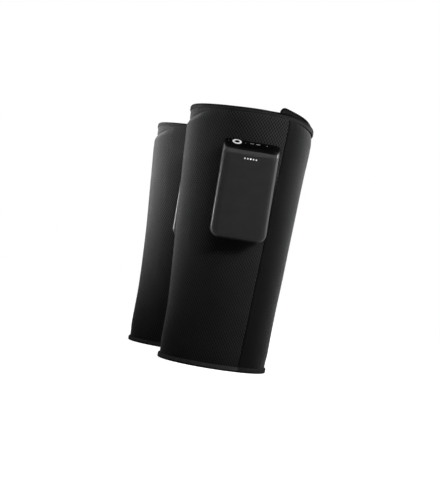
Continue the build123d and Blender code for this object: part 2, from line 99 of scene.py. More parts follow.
# ---- lie of the fabric
RIM_SWAY_FROM = 225.0 * MM  # the rim rises and dips round the sleeve above this
RIM_SWAY_FULL = 270.0 * MM
LEFT_LIFT = 1.5 * MM
LIFT_SPAN = (-165.0, 50.0, -35.0, 45.0)  # azimuths: start, ease in, end, ease out
FRONT_DIP = 0.5 * MM
FRONT_DIP_AT = -18.0
FRONT_DIP_REACH = 18.0
RIGHT_DIP = 7.0 * MM
DIP_SPAN = (30.0, 60.0, 155.0, 50.0)
LEAN_HEIGHT = 70.0 * MM  # the foot stands a little to the left below this
LEANS = {"right": 1.4 * MM, "left": 2.7 * MM}
# bulges and hollows of each wrap: (amount, azimuth, height, reach)
BULGES = {
    "right": ((0.65 * MM, 83.0, 105.0 * MM, 38.0 * MM),
              (-0.55 * MM, 83.0, 212.0 * MM, 32.0 * MM)),
    "left": ((-1.0 * MM, -93.0, 150.0 * MM, 45.0 * MM), (1.4 * MM, -93.0, 50.0 * MM, 35.0 * MM),
             (0.5 * MM, -93.0, 250.0 * MM, 18.0 * MM)),
}
BULGE_TURN = 42.0

# ---- round the sleeve
SEAM_LOW = 25.0  # azimuth of the front seam at the floor
SEAM_HIGH = 32.0  # and at the rim
WRAP_BACK = -190.0
LINING_END = 24.5
FLAP_END = 160.0
FLAP_END_WIDTH = 2.4 * MM
TONGUE_START = 26.0
TONGUE_END = 171.0
COVER_THICKNESS = 1.7 * MM
FLAP_THICKNESS = 3.2 * MM
LINING_THICKNESS = 1.1 * MM
SEAM_ROLL = 0.9 * MM
BACK_ROLL = 4.2 * MM
HEM_PROUD = 0.3 * MM
HEM_WIDTH = 2.0 * MM
SEAM_GAP = 0.12 * MM
BLEND_LENGTH = 15.0 * MM  # fabric that bends when the flap opens

# ---- tapes
TAPE_LIP = 0.3 * MM  # the tape's edge is drawn in by its stitches
TAPE_FOLD = 1.3 * MM  # radius of its fold
TAPE_INNER = 4.7 * MM  # thickness of the tape over the wall's edge
TAPE_FACE = (3.2, 4.2)  # the face ends and the darker fold starts, in mm across
RIM_RADIUS = 69.5 * MM
RIM_PROUD = 1.6 * MM  # further out over the flap's side
FLAP_RIM_RISE = 1.0 * MM  # and a little taller over the flap
BASE_RADIUS = 60.6 * MM
BASE_TAPE_HEIGHT = 5.3 * MM
RIM_PROUD_SPAN = (30.0, 45.0, FLAP_END, 40.0)
RIM_RISE_SPAN = (12.0, 20.0, FLAP_END, 40.0)
TAPE_LIP_SHARE = 0.35  # share of the tape's face that its stitches draw in
TAPE_RIPPLE = 0.06 * MM
RIM_RIPPLES = 60.0
BASE_RIPPLES = 52.0
TAPE_STEP = 2.0
END_TAPE_EXTRA = 0.9 * MM  # thickness of the end tape over the flap's own
SHEET_TUCK = 1.0 * MM  # the sheets run on under the tapes
STITCH_POINT = 2  # of a tape's section, where its stitches pass
STITCH_INSET = 0.9 * MM
STITCH_PITCH = 3.6 * MM
STITCH_LENGTH = 2.3 * MM
STITCH_RADIUS = 0.17 * MM
STITCH_SIDES = 6
HEM_STITCH_PITCH = 3.4 * MM
HEM_STITCH_OFFSET = 4.4 * MM
HEM_STITCH_LIFT = 0.1 * MM

# ---- tongue
TONGUE_DEPTH = 5.0 * MM
TONGUE_THICKNESS = 4.7 * MM
TONGUE_EDGE_THICKNESS = 2.2 * MM
TONGUE_FLOOR_GAP = 2.0 * MM
TONGUE_SIDE_RISE = 2.8 * MM
TONGUE_FRONT_RISE = 7.6 * MM
TONGUE_FALL_FROM = 29.0
TONGUE_FALL = 25.0  # turn in which the front rise falls away
TONGUE_CORNER = 6.0 * MM
TONGUE_THINNING = 10.0 * MM
TONGUE_FLARE = 5.5 * MM  # its top leans out over the rim, at the side only
TONGUE_FLARE_FOOT = 0.4 * MM
TONGUE_FLARE_RISE = 3.5 * MM
TONGUE_FLARE_FROM = 28.0
TONGUE_FLARE_TURN = 33.0
TONGUE_FINE_FROM = 250.0 * MM  # its rows lie closer above this
TONGUE_TAPE_FROM = 40.0  # the tape turns into the corner here
TONGUE_TAPE_SINK = 0.6 * MM
TONGUE_TAPE_RADIUS = 1.25 * MM

# ---- hook tabs
HOOK_START = 121.0
HOOK_END = 155.0
HOOK_DEPTH = 3.7 * MM
HOOK_THICKNESS = 0.9 * MM
HOOK_HEIGHT = 52.0 * MM
HOOK_CENTRES = (64.0 * MM, 140.0 * MM, 216.0 * MM)
HOOK_CORNER = 5.0 * MM

# ---- air cells
CELL_LOW = 17.0 * MM
CELL_HIGH = 263.0 * MM
CELL_GAP = 1.0 * MM  # from the weld's middle
CELL_DEPTH = 5.4 * MM
CELL_HALF = 3.0 * MM  # half its thickness, less towards its edges
CELL_THINNING = 2.4 * MM
CELL_EDGE = 5.0 * MM

# ---- pump unit
PUMP_TILT = 3.1115
PANEL_TILT = 30.0 + PUMP_TILT
PUMP_FOOT_HEIGHT = 139.024 * MM
PUMP_FOOT_RADIUS = 64.096 * MM
PUMP_DEPTH = 21.8 * MM
RING_SEAT = 0.225 * MM  # middle of the ring below the panel's surface
BUTTON_PROUD = 0.3 * MM
LIGHT_RISE = 85.3 * MM
LIGHT_PITCH = 3.0 * MM
LIGHT_COUNT = 5
LIGHT_RADIUS = 0.68 * MM
DASH_LENGTH = 4.2 * MM
DASH_WIDTH = 1.2 * MM
DASH_PLACES = (-3.3 * MM, 3.3 * MM)
DOT_RADIUS = 0.55 * MM
MARK_HEIGHT = 0.12 * MM

# ---- cloth
CLOTH_FRAMES = 20
CLOTH_QUALITY = 6
COVER_PRESSURE, COVER_CAP = 5.0, 1.2 * MM
LINING_PRESSURE, LINING_CAP = -22.0, 4.5 * MM
PUMP_HOLD_TURN = 29.0  # the pump's plate holds the cover here
PUMP_HOLD_LOW = 134.0 * MM
PUMP_HOLD_HIGH = 238.0 * MM
FOLD_HOLD = 1.2 * MM
WELD_HOLD = 2.0 * MM
swell_moves = {}

# ---- grids of the sheets
MEAN_RADIUS = 65.0 * MM
GRID_STEP = 2.6 * MM
FLAP_ROW_STEP = GRID_STEP * 0.9
LINING_ROW_STEP = GRID_STEP * 1.2
COVER_COLUMNS = 96
FLAP_COLUMNS = 62
LINING_COLUMNS = 80
ROLL_STEPS = 6

finishes = {}


# ---- small maths
def smooth(share):
    """Smooth step from 0 to 1."""
    share = min(max(share, 0.0), 1.0)
    return share * share * (3.0 - 2.0 * share)


def quarter(share):
    """Fall of a quarter circle, from 0 to 1."""
    share = min(max(share, 0.0), 1.0)
    return 1.0 - sqrt(1.0 - share * share)


def softplus(value):
    """Zero for very negative values and the value itself for large ones."""
    return log(1.0 + exp(value))


def steps(low, high, step):
    """Evenly spaced values from low to high, up or down, about a step apart."""
    count = max(1, round(abs(high - low) / step))
    return [low + (high - low) * index / count for index in range(count + 1)]


def arc(azimuth):
    """Length round the sleeve at its mean radius, used by the fabrics' patterns."""
    return radians(azimuth) * MEAN_RADIUS


def half_turn(angle):
    """The same angle, between -180 and 180."""
    return (angle + 180.0) % 360.0 - 180.0


def between(turn, start, rise, end, fall):
    """1 between two azimuths, eased in after the start and out before the end."""
    return smooth((turn - start) / rise) * smooth((end - turn) / fall)


def directions(azimuth):
    """Unit directions round a sleeve and out of it."""
    turn = radians(azimuth)
    return Vector((cos(turn), sin(turn), 0.0)), Vector((sin(turn), -cos(turn), 0.0))


# ---- sleeve shape
def seam_azimuth(height):
    """Azimuth of the front seam, which slants a little."""
    return SEAM_LOW + (SEAM_HIGH - SEAM_LOW) * height / RIM


def plain_radius(height):
    """Wall radius without its edges, collar and waves."""
    slope = (CALF_RADIUS - ANKLE_RADIUS) / (CALF_HEIGHT - ANKLE_HEIGHT)
    below_calf = softplus((CALF_HEIGHT - height) / PROFILE_BEND)
    below_ankle = softplus((ANKLE_HEIGHT - height) / PROFILE_BEND)
    return CALF_RADIUS - slope * PROFILE_BEND * (below_calf - below_ankle)


def waves(azimuth, height):
    """Soft unevenness of the filled wrap, least under the pump."""
    turn = radians(azimuth)
    rise = height / RIM
    clear = 1.0 - WAVE_CALM * exp(-((azimuth / WAVE_CALM_TURN) ** 2))
    broad = sin(2.0 * turn + 5.0 * rise) + 0.6 * sin(5.0 * turn - 9.0 * rise + 1.0)
    near_edge = (exp(-(height - TAPE_HEIGHT) / PUCKER_REACH)
                 + exp(-(RIM_FOOT - height) / PUCKER_REACH))
    puckers = sin(41.0 * turn + 3.0 * sin(7.0 * turn))
    return (WAVE_DEPTH * clear * broad + PUCKER_DEPTH * near_edge * puckers) * MM


def fold_height(azimuth):
    """Height of the fold below the collar, which sweeps down to the left."""
    fall = smooth((COLLAR_STARTS - azimuth) / (COLLAR_STARTS - FOLD_LOWEST_AT))
    return FOLD_HIGH - (FOLD_HIGH - FOLD_LOW) * fall


def shoulder_drop(height):
    """How far the wall falls in towards the rim."""
    return SHOULDER_DROP * quarter((height - SHOULDER_FOOT) / (RIM_FOOT - SHOULDER_FOOT))


def body_radius(azimuth, height):
    """Outer radius of the wrap as it looks, with shoulder, collar, pinch and waves."""
    full = plain_radius(height)
    full -= PINCH_DEPTH * (1.0 - smooth((height - TAPE_HEIGHT) / PINCH_HEIGHT))
    share = smooth((COLLAR_STARTS - azimuth) / (COLLAR_STARTS - COLLAR_FULL))
    fold = fold_height(azimuth)
    inset = COLLAR_INSET * smooth((height - fold + COLLAR_RISE) / COLLAR_RISE)
    if height > fold:
        inset = COLLAR_INSET - COLLAR_EASE * (height - fold) / (RIM - fold)
    inset += FOLD_GROOVE * exp(-(((height - fold) / FOLD_WIDTH) ** 2))
    shoulder = full - shoulder_drop(height)
    collar = full - inset
    return shoulder * (1.0 - share) + collar * share + waves(azimuth, height)


def lining_depth(height):
    """Depth of the lining's inner face, less near the bound edges."""
    to_edge = min(height - TAPE_HEIGHT, RIM_FOOT - height)
    share = min(max(to_edge / EDGE_TAPER, 0.0), 1.0)
    return EDGE_THICKNESS + smooth(share) * (WALL_THICKNESS - EDGE_THICKNESS)


def rim_sway(azimuth):
    """How far the rim stands above its plain height, or below it."""
    turn = half_turn(azimuth)
    lift = LEFT_LIFT * between(turn, *LIFT_SPAN)
    dip = FRONT_DIP * exp(-(((turn - FRONT_DIP_AT) / FRONT_DIP_REACH) ** 2))
    return lift - dip - RIGHT_DIP * between(turn, *DIP_SPAN)


class Sleeve:
    """Side and axis of one wrap, and how its fabric lies."""

    def __init__(self, side):
        low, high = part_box(side + "_outer_cover")
        self.side = side
        self.axis = Vector((low.x + CALF_RADIUS, (low.y + high.y) / 2.0, 0.0))

    def bulge(self, azimuth, height):
        """Radius that the wrap's own bulges and hollows add."""
        total = 0.0
        for amount, at_turn, at_height, reach in BULGES[self.side]:
            aside = half_turn(azimuth - at_turn) / BULGE_TURN
            total += amount * exp(-(aside ** 2) - ((height - at_height) / reach) ** 2)
        return total

    def point(self, azimuth, radius, height):
        """Point at an azimuth, radius and height round the axis, as the fabric lies."""
        turn = radians(azimuth)
        radius += self.bulge(azimuth, height)
        lean = LEANS[self.side] * (1.0 - smooth(height / LEAN_HEIGHT))
        share = smooth((height - RIM_SWAY_FROM) / (RIM_SWAY_FULL - RIM_SWAY_FROM))
        return Vector((self.axis.x + radius * sin(turn) - lean,
                       self.axis.y - radius * cos(turn), height + rim_sway(azimuth) * share))

    def spot(self, azimuth, radius, height):
        """Point of the fabric, with its place on the flat cloth."""
        return self.point(azimuth, radius, height), (arc(azimuth), height)


# ---- meshes
def put(name, data):
    """New object in the scene."""
    made = bpy.data.objects.new(name, data)
    bpy.context.scene.collection.objects.link(made)
    return made


def new_piece(name, points, faces, cloth=None):
    """Smooth mesh object; cloth gives each point its place on the flat fabric."""
    mesh = bpy.data.meshes.new(name)
    mesh.from_pydata([tuple(point) for point in points], [], faces)
    if cloth:
        layer = mesh.attributes.new("cloth", "FLOAT_VECTOR", "POINT")
        layer.data.foreach_set("vector", [value for u, v in cloth for value in (u, v, 0.0)])
    mesh.polygons.foreach_set("use_smooth", [True] * len(mesh.polygons))
    mesh.update()
    return put(name, mesh)


def grid_piece(name, rows):
    """Open sheet from rows of (point, (u, v))."""
    width = len(rows[0])
    points = [point for row in rows for point, flat in row]
    cloth = [flat for row in rows for point, flat in row]
    faces = []
    for row in range(len(rows) - 1):
        for column in range(width - 1):
            corner = row * width + column
            faces.append((corner, corner + 1, corner + width + 1, corner + width))
    return new_piece(name, points, faces, cloth)


def loft_shell(name, lofts):
    """One piece of closed solids, each through loops of (point, its place on flat fabric)."""
    points, cloth, faces = [], [], []
    for loops in lofts:
        size = len(loops[0])
        first = len(points)
        last = first + (len(loops) - 1) * size
        for loop in loops:
            points += [point for point, flat in loop]
            cloth += [flat for point, flat in loop]
        for low in range(first, last, size):
            for corner in range(size):
                after = (corner + 1) % size
                faces.append((low + corner, low + after, low + size + after, low + size + corner))
        faces.append(tuple(first + corner for corner in reversed(range(size))))
        faces.append(tuple(last + corner for corner in range(size)))
    return new_piece(name, points, faces, cloth if cloth[0] else None)


def loft_piece(name, *lofts):
    """Piece made of one or more closed lofts, with its normals turned outwards."""
    return fair_normals(loft_shell(name, lofts))


def settle(piece):
    """Keep the result of a piece's modifiers as its mesh."""
    graph = bpy.context.evaluated_depsgraph_get()
    made = bpy.data.meshes.new_from_object(
        piece.evaluated_get(graph), preserve_all_data_layers=True, depsgraph=graph
    )
    piece.modifiers.clear()
    piece.data = made


def swell(kind, piece, is_held, pressure, cap):
    """Let a sheet swell as cloth under pressure, between the points that are held.

    No point moves further than the cap. Both sleeves have the same sheets, so the moves
    found for the first sheet of a kind serve the second.
    """
    mesh = piece.data
    if kind not in swell_moves:
        held = [vertex.index for vertex, flat in zip(mesh.vertices, mesh.attributes["cloth"].data)
                if is_held(degrees(flat.vector.x / MEAN_RADIUS), flat.vector.y)]
        piece.vertex_groups.new(name="held").add(held, 1.0, "REPLACE")
        cloth = piece.modifiers.new("cloth", "CLOTH")
        cloth.settings.vertex_group_mass = "held"
        cloth.settings.quality = CLOTH_QUALITY
        cloth.settings.use_pressure = True
        cloth.settings.uniform_pressure_force = pressure
        cloth.settings.effector_weights.gravity = 0.0
        cloth.point_cache.frame_start = 1
        cloth.point_cache.frame_end = CLOTH_FRAMES
        scene = bpy.context.scene
        for number in range(1, CLOTH_FRAMES + 1):
            scene.frame_set(number)
        swollen = piece.evaluated_get(bpy.context.evaluated_depsgraph_get()).data
        moves = []
        for before, after in zip(mesh.vertices, swollen.vertices):
            move = after.co - before.co
            moves.append(move * min(1.0, cap / max(move.length, 1e-9)))
        swell_moves[kind] = moves
        piece.modifiers.clear()
        piece.vertex_groups.clear()
        scene.frame_set(1)
    for vertex, move in zip(mesh.vertices, swell_moves[kind]):
        vertex.co += move
    mesh.update()


def near_tape(height, margin):
    """Whether a height lies under the tapes, or within a margin of them."""
    return height < TAPE_HEIGHT + margin or height > RIM_FOOT - margin


def cover_held(azimuth, height):
    """Whether the cover is held: at its edges, under the pump and along the collar's fold."""
    if near_tape(height, 1.0 * MM):
        return True
    if azimuth < WRAP_BACK + 5.0 or azimuth > seam_azimuth(height) - 2.0:
        return True
    if abs(azimuth) < PUMP_HOLD_TURN and PUMP_HOLD_LOW < height < PUMP_HOLD_HIGH:
        return True
    return azimuth < COLLAR_STARTS and abs(height - fold_height(azimuth)) < FOLD_HOLD


def flap_held(azimuth, height):
    """Whether the flap is held: at its four edges."""
    if near_tape(height, 1.0 * MM):
        return True
    return azimuth < seam_azimuth(height) + 3.0 or azimuth > FLAP_END - 4.0


def lining_held(azimuth, height):
    """Whether the lining is held: at its edges and along the weld between the air cells."""
    if near_tape(height, 0.5 * MM):
        return True
    if azimuth < WRAP_BACK + 4.0 or azimuth > LINING_END - 5.0:
        return True
    return abs(height - CELL_LAND) < WELD_HOLD


def thicken(piece, thickness):
    """Give an open sheet its thickness, inwards from the surface drawn."""
    solid = piece.modifiers.new("thickness", "SOLIDIFY")
    solid.thickness = thickness
    solid.offset = -1.0
    solid.use_even_offset = True
    settle(piece)
    piece.data.set_sharp_from_angle(angle=radians(60.0))
    return piece


def fair_normals(piece):
    """Turn all faces of closed shells outwards, with their sharper edges kept."""
    mesh = bmesh.new()
    mesh.from_mesh(piece.data)
    bmesh.ops.recalc_face_normals(mesh, faces=mesh.faces)
    mesh.to_mesh(piece.data)
    mesh.free()
    piece.data.set_sharp_from_angle(angle=radians(50.0))
    return piece


# ---- wrap sheets
def rolled_row(start, end, start_roll, end_roll, count):
    """(azimuth, depth) along one row, with either end rolled in by a quarter circle."""
    turns = [radians(90.0 * index / ROLL_STEPS) for index in range(ROLL_STEPS)]

    def rolled(edge, roll, inwards):
        return [(edge + inwards * degrees(roll * (1.0 - cos(turn)) / MEAN_RADIUS),
                 roll * (1.0 - sin(turn))) for turn in turns if roll]

    first = start + degrees(start_roll / MEAN_RADIUS)
    last = end - degrees(end_roll / MEAN_RADIUS)
    middle = [(first + (last - first) * index / count, 0.0) for index in range(count + 1)]
    return rolled(start, start_roll, 1.0) + middle + rolled(end, end_roll, -1.0)[::-1]


def cover_rows(sleeve):
    """Rows of the wrap's outer fabric, rolled in at its back edge and at the seam."""
    heights = steps(TAPE_HEIGHT - SHEET_TUCK, COLLAR_ZONE, GRID_STEP)
    heights += steps(COLLAR_ZONE, RIM_FOOT + SHEET_TUCK, COLLAR_ROW_STEP)[1:]
    rows = []
    for height in heights:
        places = rolled_row(WRAP_BACK, seam_azimuth(height), BACK_ROLL, SEAM_ROLL, COVER_COLUMNS)
        rows.append([sleeve.spot(azimuth, body_radius(azimuth, height) - depth, height)
                     for azimuth, depth in places])
    return rows


def flap_rows(sleeve):
    """Rows of the flap, with a rolled hem at the seam."""
    rows = []
    for height in steps(TAPE_HEIGHT - SHEET_TUCK, RIM_FOOT + SHEET_TUCK, FLAP_ROW_STEP):
        seam = seam_azimuth(height) + degrees(SEAM_GAP / MEAN_RADIUS)
        row = []
        for azimuth, depth in rolled_row(seam, FLAP_END, SEAM_ROLL, 0.0, FLAP_COLUMNS):
            from_seam = radians(azimuth - seam) * MEAN_RADIUS
            hem = HEM_PROUD * exp(-(((from_seam - HEM_WIDTH) / HEM_WIDTH) ** 2))
            row.append(sleeve.spot(azimuth, body_radius(azimuth, height) - depth + hem, height))
        rows.append(row)
    return rows


def lining_rows(sleeve):
    """Rows of the lining, pillowed over the two air cells, rolled out at its front end."""
    rows = []
    for height in steps(TAPE_HEIGHT - SHEET_TUCK, RIM_FOOT + SHEET_TUCK, LINING_ROW_STEP):
        depth = lining_depth(height) - LINING_THICKNESS
        roll_out = min(BACK_ROLL, depth - COVER_THICKNESS - 0.6 * MM)
        places = rolled_row(WRAP_BACK, LINING_END, 0.0, roll_out, LINING_COLUMNS)
        rows.append([sleeve.spot(azimuth, plain_radius(height) - depth + roll, height)
                     for azimuth, roll in places])
    return rows


def hook_rows(sleeve, centre):
    """Rows of one hook tab with rounded corners."""
    rows = []
    low = centre - HOOK_HEIGHT / 2.0
    high = centre + HOOK_HEIGHT / 2.0
    for height in steps(low, high, 1.0 * MM):
        inset = HOOK_CORNER * quarter(1.0 - min(height - low, high - height) / HOOK_CORNER)
        turn = degrees(inset / MEAN_RADIUS)
        width = HOOK_END - HOOK_START - 2.0 * turn
        radius = plain_radius(height) - HOOK_DEPTH
        rows.append([sleeve.spot(HOOK_START + turn + width * share, radius, height)
                     for share in steps(0.0, 1.0, 0.06)])
    return rows


# ---- tapes
def tape_section(outer, inner, low, high):
    """(radius, height) loop of a tape folded over an edge, from its outer lip round."""
    half = (outer - inner) / 2.0
    middle = (outer + inner) / 2.0
    sides = []
    for index in range(6):
        share = index / 5.0
        tuck = TAPE_LIP * (1.0 - smooth(share / TAPE_LIP_SHARE))
        sides.append((half - tuck, low + (high - TAPE_FOLD - low) * share))
    flat = half - TAPE_FOLD
    top = [(flat + TAPE_FOLD * cos(radians(angle)),
            high - TAPE_FOLD * (1.0 - sin(radians(angle)))) for angle in steps(15.0, 90.0, 15.0)]
    top += [(-reach, height) for reach, height in reversed(top)]
    loop = [(middle + reach, height) for reach, height in sides]
    loop += [(middle + reach, height) for reach, height in top]
    loop += [(middle - reach, height) for reach, height in reversed(sides)]
    return loop


def ring_loops(sleeve, start, end, section_at):
    """Loops of a tape that runs round a sleeve; section_at gives its section at an azimuth."""
    loops = []
    for azimuth in steps(start, end, TAPE_STEP):
        section = section_at(azimuth)
        flat = 0.0
        loop = []
        before = section[0]
        for radius, height in section:
            flat += sqrt((radius - before[0]) ** 2 + (height - before[1]) ** 2)
            before = (radius, height)
            loop.append((sleeve.point(azimuth, radius, height), (arc(azimuth), flat)))
        loops.append(loop)
    return loops


def rim_section(azimuth):
    """Section of the rim tape; over the flap it stands further out and taller."""
    outer = RIM_RADIUS + RIM_PROUD * between(azimuth, *RIM_PROUD_SPAN)
    outer += TAPE_RIPPLE * sin(radians(azimuth) * RIM_RIPPLES)
    rise = FLAP_RIM_RISE * between(azimuth, *RIM_RISE_SPAN)
    return tape_section(outer, RIM_RADIUS - TAPE_INNER, RIM_FOOT - 0.4 * MM, RIM + rise)


def base_section(azimuth):
    """Section of the base tape, turned upside down so that its fold is on the floor."""
    outer = BASE_RADIUS + TAPE_RIPPLE * sin(radians(azimuth) * BASE_RIPPLES)
    section = tape_section(outer, BASE_RADIUS - TAPE_INNER, 0.0, BASE_TAPE_HEIGHT)
    return [(radius, BASE_TAPE_HEIGHT - height) for radius, height in section]


def end_tape_loops(sleeve):
    """Loops of the tape down the flap's free end."""
    thick = FLAP_THICKNESS + END_TAPE_EXTRA
    loops = []
    for height in steps(0.0, RIM, 4.0 * MM):
        outer = plain_radius(height) + 0.4 * MM
        if height > RIM_FOOT:
            outer = RIM_RADIUS + 0.2 * MM
        loop = []
        for index, angle in enumerate(steps(0.0, 330.0, 30.0)):
            across = FLAP_END_WIDTH / 2.0 * (1.0 + cos(radians(angle))) - 0.6 * MM
            up = sin(radians(angle))
            deep = thick / 2.0 * (1.0 if up > 0 else -1.0) * abs(up) ** 0.6
            azimuth = FLAP_END + degrees(across / MEAN_RADIUS)
            point = sleeve.point(azimuth, outer - thick / 2.0 + deep, height)
            loop.append((point, (index * 0.7 * MM, height)))
        loops.append(loop)
    return loops


# ---- tongue
def tongue_corner(turn):
    """Azimuth at a turn round the tongue's front corner, from its front edge."""
    return TONGUE_START + degrees(TONGUE_CORNER * (1.0 - cos(radians(turn))) / MEAN_RADIUS)


def tongue_top(azimuth):
    """Height of the tongue's top edge, with its rounded front corner."""
    rise = TONGUE_FRONT_RISE - TONGUE_SIDE_RISE
    height = RIM + TONGUE_SIDE_RISE + rise * exp(-(azimuth - TONGUE_FALL_FROM) / TONGUE_FALL)
    from_start = radians(azimuth - TONGUE_START) * MEAN_RADIUS
    return height - TONGUE_CORNER * quarter(1.0 - from_start / TONGUE_CORNER)


def tongue_radius(azimuth, height):
    """Outer radius of the tongue; its top edge leans out over the rim at the side."""
    lean = smooth((height - RIM - TONGUE_FLARE_FOOT) / TONGUE_FLARE_RISE) \
        * smooth((azimuth - TONGUE_FLARE_FROM) / TONGUE_FLARE_TURN)
    return plain_radius(min(height, SHOULDER_FOOT)) - TONGUE_DEPTH + TONGUE_FLARE * lean \
        - shoulder_drop(height)


def tongue_loops(sleeve):
    """Loops of the tongue, thinner towards its edges."""
    azimuths = [tongue_corner(turn) for turn in steps(0.0, 90.0, 12.0)]
    azimuths += steps(azimuths[-1], TONGUE_END, 2.4)[1:]
    loops = []
    for azimuth in azimuths:
        top = tongue_top(azimuth)
        heights = steps(TONGUE_FLOOR_GAP, TONGUE_FINE_FROM, 7.0 * MM)
        heights += [TONGUE_FINE_FROM + (top - TONGUE_FINE_FROM) * share
                    for share in steps(0.0, 1.0, 0.05)][1:]
        from_start = radians(azimuth - TONGUE_START) * MEAN_RADIUS
        outer, inner = [], []
        for height in heights:
            near = min(top - height, height - TONGUE_FLOOR_GAP, from_start + 1.0 * MM)
            thick = TONGUE_EDGE_THICKNESS + (TONGUE_THICKNESS - TONGUE_EDGE_THICKNESS) \
                * smooth(near / TONGUE_THINNING)
            face = tongue_radius(azimuth, height) - (TONGUE_THICKNESS - thick) * 0.25
            outer.append(sleeve.spot(azimuth, face, height))
            inner.append(sleeve.spot(azimuth, face - thick, height))
        loops.append(outer + inner[::-1])
    return loops


def tongue_tape(name, sleeve):
    """Round tape along the tongue's top edge and down its front edge."""
    azimuths = steps(TONGUE_END, TONGUE_TAPE_FROM, 4.0)
    azimuths += [tongue_corner(turn) for turn in steps(90.0, 0.0, 15.0)]
    places = [(azimuth, tongue_top(azimuth)) for azimuth in azimuths]
    corner_foot = places[-1][1] - 4.0 * MM
    places += [(TONGUE_START, height) for height in steps(corner_foot, TONGUE_FLOOR_GAP, 8.0 * MM)]
    curve = bpy.data.curves.new(name, "CURVE")
    curve.dimensions = "3D"
    curve.bevel_depth = TONGUE_TAPE_RADIUS
    curve.bevel_resolution = 4
    curve.use_fill_caps = True
    line = curve.splines.new("POLY")
    line.points.add(len(places) - 1)
    for point, (azimuth, height) in zip(line.points, places):
        radius = tongue_radius(azimuth, height) - TONGUE_EDGE_THICKNESS / 2.0 - TONGUE_TAPE_SINK
        point.co = (*sleeve.point(azimuth, radius, height - TONGUE_TAPE_SINK), 1.0)
    shape = put(name + "_line", curve)
    graph = bpy.context.evaluated_depsgraph_get()
    mesh = bpy.data.meshes.new_from_object(shape.evaluated_get(graph))
    bpy.data.objects.remove(shape)
    points = [vertex.co for vertex in mesh.vertices]
    faces = [tuple(face.vertices) for face in mesh.polygons]
    return new_piece(name, points, faces, [(point.x, point.z) for point in points])


# ---- stitches and marks
def stitch_piece(name, places):
    """Row of sewn stitches, each a small arched spindle at (point, along, outwards)."""
    stations = [(-0.5, 0.25, -0.5), (-0.35, 0.9, 0.2), (0.0, 1.0, 0.45), (0.35, 0.9, 0.2),
                (0.5, 0.25, -0.5)]
    turns = [2.0 * pi * side / STITCH_SIDES for side in range(STITCH_SIDES)]
    stitches = []
    for point, along, outwards in places:
        across = along.cross(outwards).normalized()
        spokes = [across * cos(turn) + outwards * sin(turn) for turn in turns]
        loops = []
        for share, width, lift in stations:
            middle = point + along * (share * STITCH_LENGTH) + outwards * (lift * STITCH_RADIUS)
            loops.append([(middle + spoke * (STITCH_RADIUS * width), None) for spoke in spokes])
        stitches.append(loops)
    return loft_shell(name, stitches)


def tape_stitches(sleeve, rim_span, base_span):
    """Places of the stitches along the rim tape and the base tape, each from and to azimuths."""
    places = []
    for (start, end), height, section_at in (
        (rim_span, RIM_FOOT + STITCH_INSET, rim_section),
        (base_span, TAPE_HEIGHT - STITCH_INSET, base_section),
    ):
        for azimuth in steps(start + 2.0, end - 1.0, degrees(STITCH_PITCH / MEAN_RADIUS)):
            radius = section_at(azimuth)[STITCH_POINT][0]
            places.append((sleeve.point(azimuth, radius, height), *directions(azimuth)))
    return places


def seam_stitches(sleeve):
    """Places of the stitches that run up the flap's hem."""
    rise = 0.01
    places = []
    for height in steps(9.0 * MM, 270.0 * MM, HEM_STITCH_PITCH):
        azimuth = seam_azimuth(height) + degrees(HEM_STITCH_OFFSET / MEAN_RADIUS)
        here = sleeve.point(azimuth, body_radius(azimuth, height) + HEM_STITCH_LIFT, height)
        above = sleeve.point(azimuth + (SEAM_HIGH - SEAM_LOW) * rise,
                             body_radius(azimuth, height + rise * RIM) + HEM_STITCH_LIFT,
                             height + rise * RIM)
        places.append((here, (above - here).normalized(), directions(azimuth)[1]))
    return places


def raised_mark(name, outline, place):
    """Small raised mark with a softened edge; outline is a list of (x, y) about its middle."""
    loops = []
    for rise, shrink in ((-0.3, 0.0), (0.6, 0.0), (1.0, 0.35)):
        loop = []
        for x, y in outline:
            size = sqrt(x * x + y * y)
            scale = (size - shrink * MARK_HEIGHT) / size
            loop.append((place @ Vector((x * scale, y * scale, rise * MARK_HEIGHT)), (x, y)))
        loops.append(loop)
    return loft_piece(name, loops)


def slot_outline(length, width):
    """Outline of a slot with round ends."""
    half = (length - width) / 2.0
    radius = width / 2.0
    right = [(half + radius * cos(radians(turn)), radius * sin(radians(turn)))
             for turn in steps(-90.0, 90.0, 15.0)]
    return right + [(-x, -y) for x, y in right]


def disc_outline(radius):
    """Outline of a disc."""
    return [(radius * cos(radians(turn)), radius * sin(radians(turn)))
            for turn in steps(0.0, 345.0, 15.0)]


